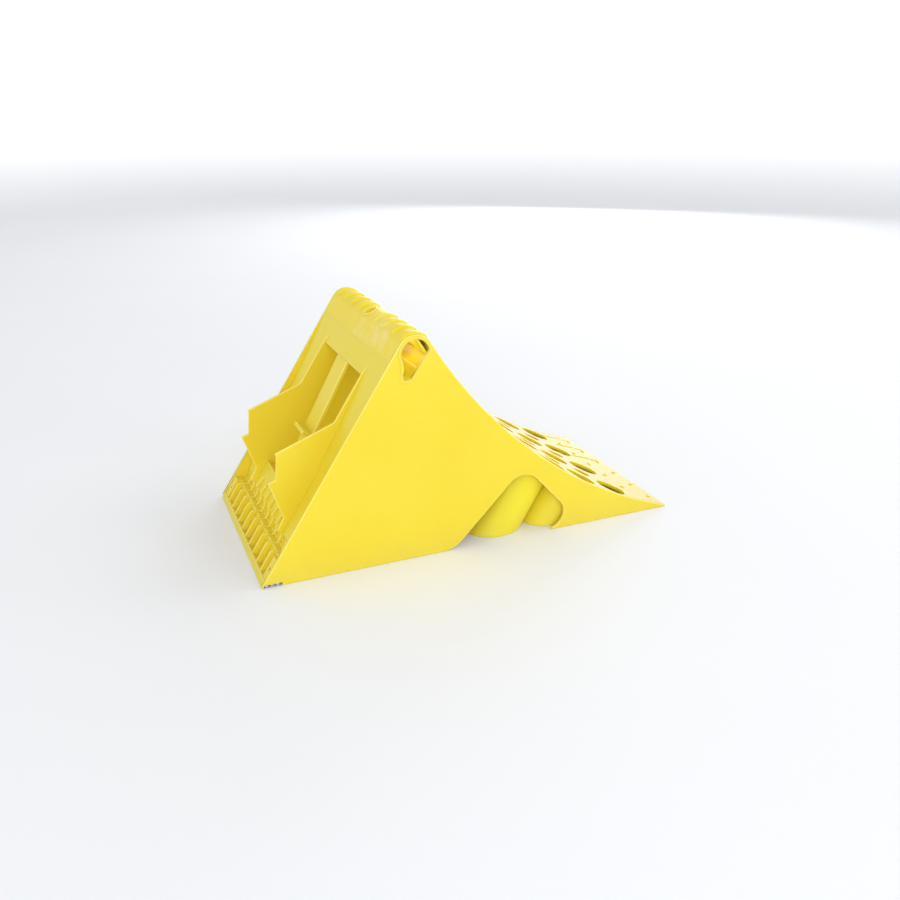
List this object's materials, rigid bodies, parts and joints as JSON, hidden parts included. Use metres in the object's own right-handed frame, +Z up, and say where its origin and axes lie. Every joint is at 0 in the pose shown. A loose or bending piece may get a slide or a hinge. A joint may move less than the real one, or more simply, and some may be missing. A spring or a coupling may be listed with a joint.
{
  "type": "wheel chock",
  "caption": "Truck wheel chock: curved perforated tyre face, crown tube with keyhole ends, rear holder pocket with two guide wings, support tubes and a claw strip under the heel.",
  "frame": {"origin": "centre of the base on the road, under the middle of the length and width", "axes": "+X from the heel to the toe, +Y across the width, +Z up from the road"},
  "size_m": [0.47, 0.23, 0.2385],
  "materials": {
    "yellow_plastic": "satin moulded",
    "claw_steel": "zinc plated",
    "screw_zinc": "zinc plated"
  },
  "bodies": {
    "root": {"right_cheek": "yellow_plastic", "left_cheek": "yellow_plastic", "right_keyhole_collar": "yellow_plastic", "left_keyhole_collar": "yellow_plastic", "crown_tube": "yellow_plastic", "crown_channel": "yellow_plastic", "crown_inner_wall": "yellow_plastic", "crown_grip_ribs": "yellow_plastic", "rope_eye_collar": "yellow_plastic", "tread_skin": "yellow_plastic", "tread_studs": "yellow_plastic", "tread_bars": "yellow_plastic", "toe_bar": "yellow_plastic", "rear_header": "yellow_plastic", "right_flange": "yellow_plastic", "left_flange": "yellow_plastic", "right_wing": "yellow_plastic", "left_wing": "yellow_plastic", "pocket_floor": "yellow_plastic", "pocket_roof": "yellow_plastic", "pocket_sill": "yellow_plastic", "sill_ribs": "yellow_plastic", "latch_tongue": "yellow_plastic", "latch_catch": "yellow_plastic", "heel_plate": "yellow_plastic", "heel_rail": "yellow_plastic", "right_heel_web": "yellow_plastic", "left_heel_web": "yellow_plastic", "heel_rib_1": "yellow_plastic", "heel_rib_2": "yellow_plastic", "heel_rib_3": "yellow_plastic", "heel_rib_4": "yellow_plastic", "heel_rib_5": "yellow_plastic", "heel_rib_6": "yellow_plastic", "heel_rib_7": "yellow_plastic", "heel_rib_8": "yellow_plastic", "heel_rib_9": "yellow_plastic", "heel_rib_10": "yellow_plastic", "tube_rear_right": "yellow_plastic", "tube_rear_middle": "yellow_plastic", "tube_rear_left": "yellow_plastic", "tube_front_right": "yellow_plastic", "tube_front_middle": "yellow_plastic", "tube_front_left": "yellow_plastic", "right_long_web": "yellow_plastic", "left_long_web": "yellow_plastic", "rear_cross_walls": "yellow_plastic", "front_cross_walls": "yellow_plastic", "claw_strip": "claw_steel", "claw_bosses": "yellow_plastic", "claw_screws": "screw_zinc"}
  },
  "joints": []
}
